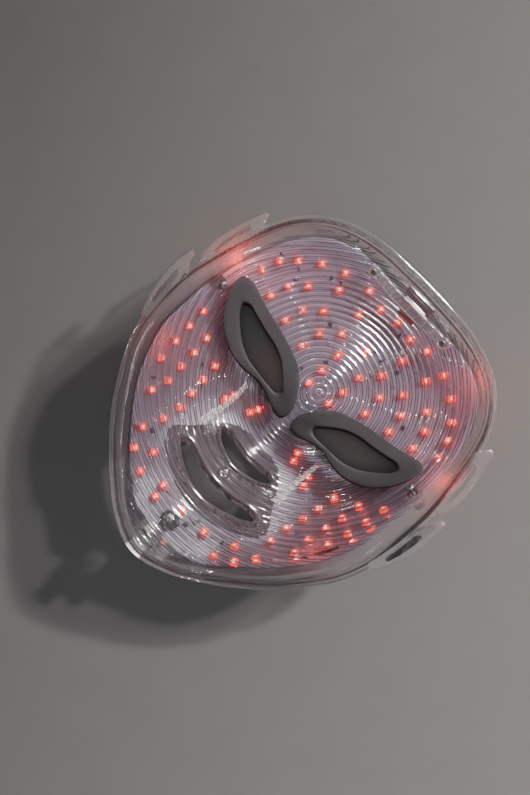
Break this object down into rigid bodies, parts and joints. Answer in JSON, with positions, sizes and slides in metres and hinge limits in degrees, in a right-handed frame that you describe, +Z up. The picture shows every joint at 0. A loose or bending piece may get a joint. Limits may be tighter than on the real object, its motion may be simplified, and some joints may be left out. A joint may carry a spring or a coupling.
{
  "type": "led face mask",
  "caption": "Light-therapy face mask lying on its outer side: clear contoured shell, flexible LED board, ribbed clear lens, silicone eye cups, strap hooks, clip and chin charging port.",
  "frame": {"origin": "centre of the bounding box's underside, on the table the mask lies on", "axes": "+Z up out of the hollow wearer's side, +Y towards the forehead and -Y towards the chin and charging port, +X towards the side of the right-hand cup when looking down into the hollow with the chin nearest"},
  "size_m": [0.194, 0.209, 0.0536],
  "materials": {
    "clear_plastic": "clear, glossy, finely ribbed on the lens",
    "flex_board": "satin lilac grey laminate",
    "led_package": "glowing red-orange package",
    "silicone": "soft matte dark grey silicone",
    "steel": "bright zinc plated",
    "dark_plastic": "satin black",
    "circuit_board": "dark solder mask",
    "cream_plastic": "cream nylon",
    "copper": "lacquered copper winding",
    "switch_plastic": "translucent grey",
    "foil": "dull foil pouch",
    "wire": "red insulated lead pair"
  },
  "bodies": {
    "mask": {"battery_cell": "foil", "battery_header": "cream_plastic", "battery_lead": "wire", "board_connector": "cream_plastic", "button_switch": "switch_plastic", "centre_screw": "steel", "charge_port_shell": "steel", "charge_port_tongue": "dark_plastic", "chin_screw": "steel", "clip_bar": "clear_plastic", "clip_latch": "dark_plastic", "clip_screw_left": "steel", "clip_screw_right": "steel", "clip_tab": "dark_plastic", "control_board": "circuit_board", "driver_chip": "dark_plastic", "flex_tail": "flex_board", "inner_lens": "clear_plastic", "led_arc_centre": "led_package", "led_arc_chin": "led_package", "led_arc_forehead_inner": "led_package", "led_arc_forehead_middle": "led_package", "led_arc_forehead_outer": "led_package", "led_arc_glabella": "led_package", "led_board": "flex_board", "led_row_cheek_inner_left": "led_package", "led_row_cheek_inner_right": "led_package", "led_row_cheek_middle_left": "led_package", "led_row_cheek_middle_right": "led_package", "led_row_cheek_outer_left": "led_package", "led_row_cheek_outer_right": "led_package", "led_row_jaw_left": "led_package", "led_row_jaw_right": "led_package", "led_row_nose_left": "led_package", "led_row_nose_right": "led_package", "outer_shell": "clear_plastic", "power_inductor": "copper", "temple_screw_left": "steel", "temple_screw_right": "steel"},
    "button": {"power_button": "switch_plastic"},
    "cup_right": {"eye_cup_right": "silicone"},
    "cup_left": {"eye_cup_left": "silicone"}
  },
  "joints": [
    {"name": "button_press", "type": "slide", "parent": "mask", "child": "button", "axis": [0, 0.1831, 0.9831], "range_m": [0, 0.0005]},
    {"name": "cup_right_lift", "type": "slide", "parent": "mask", "child": "cup_right", "axis": [0, 0.1831, 0.9831], "range_m": [0, 0.012]},
    {"name": "cup_left_lift", "type": "slide", "parent": "mask", "child": "cup_left", "axis": [0, 0.1831, 0.9831], "range_m": [0, 0.012]}
  ]
}
